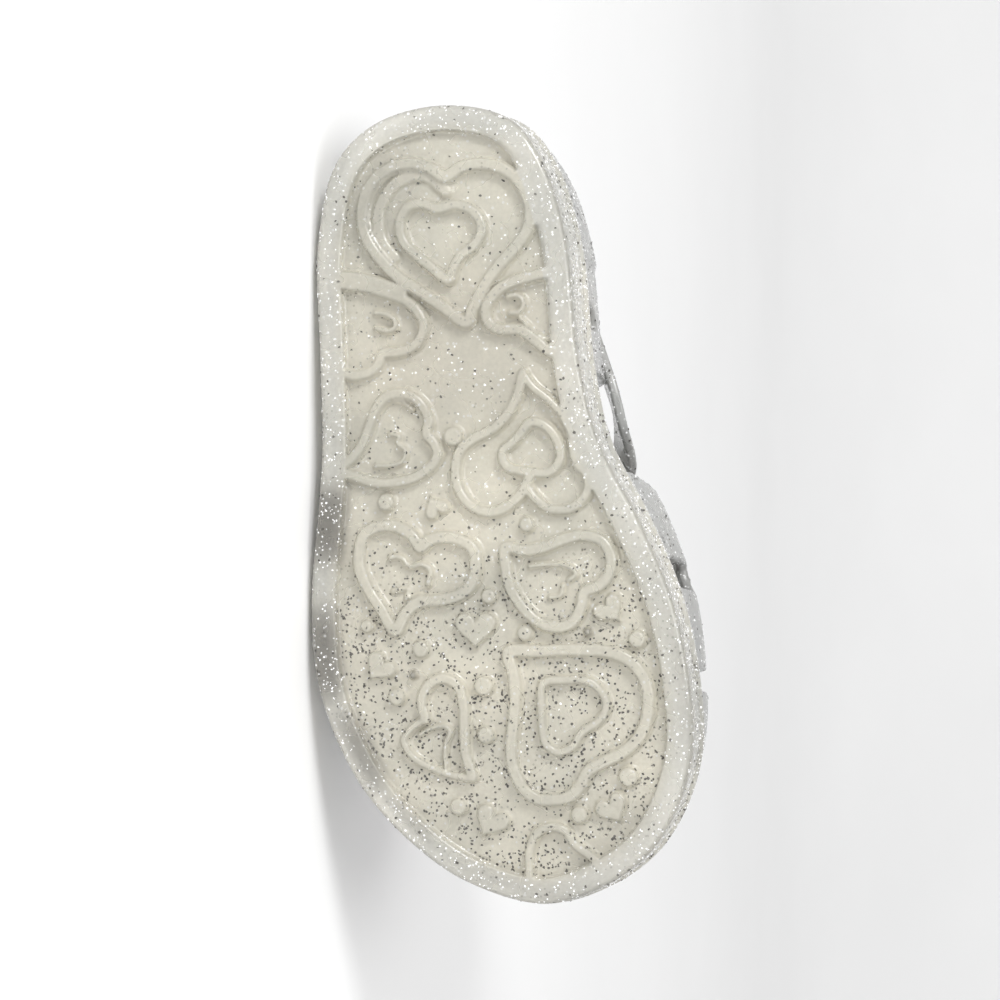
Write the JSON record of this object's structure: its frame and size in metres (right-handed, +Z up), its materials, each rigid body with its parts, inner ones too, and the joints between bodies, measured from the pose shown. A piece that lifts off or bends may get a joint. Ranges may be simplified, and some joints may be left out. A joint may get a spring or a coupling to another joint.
{
  "type": "jelly sandal",
  "caption": "Child's left jelly sandal in clear soft plastic, with a caged toe, ankle strap, buckle, bow and heart-shaped tread.",
  "frame": {"origin": "floor, under the middle of the shoe's box as it lies on its lateral side", "axes": "+X from heel to toe, +Z up from the floor to the medial side, -Y out of the sole"},
  "size_m": [0.1414, 0.064, 0.07],
  "materials": {
    "clear_plastic": "clear milky soft plastic with silver flakes",
    "insole_plastic": "soft dimpled plastic",
    "buckle_metal": "bright plated wire",
    "pink_plastic": "glossy soft plastic"
  },
  "bodies": {
    "root": {"outsole": "clear_plastic", "upper": "clear_plastic", "insole": "insole_plastic", "buckle_frame": "buckle_metal", "buckle_prong": "buckle_metal", "bow_loops": "pink_plastic", "bow_knot": "pink_plastic"}
  },
  "joints": []
}
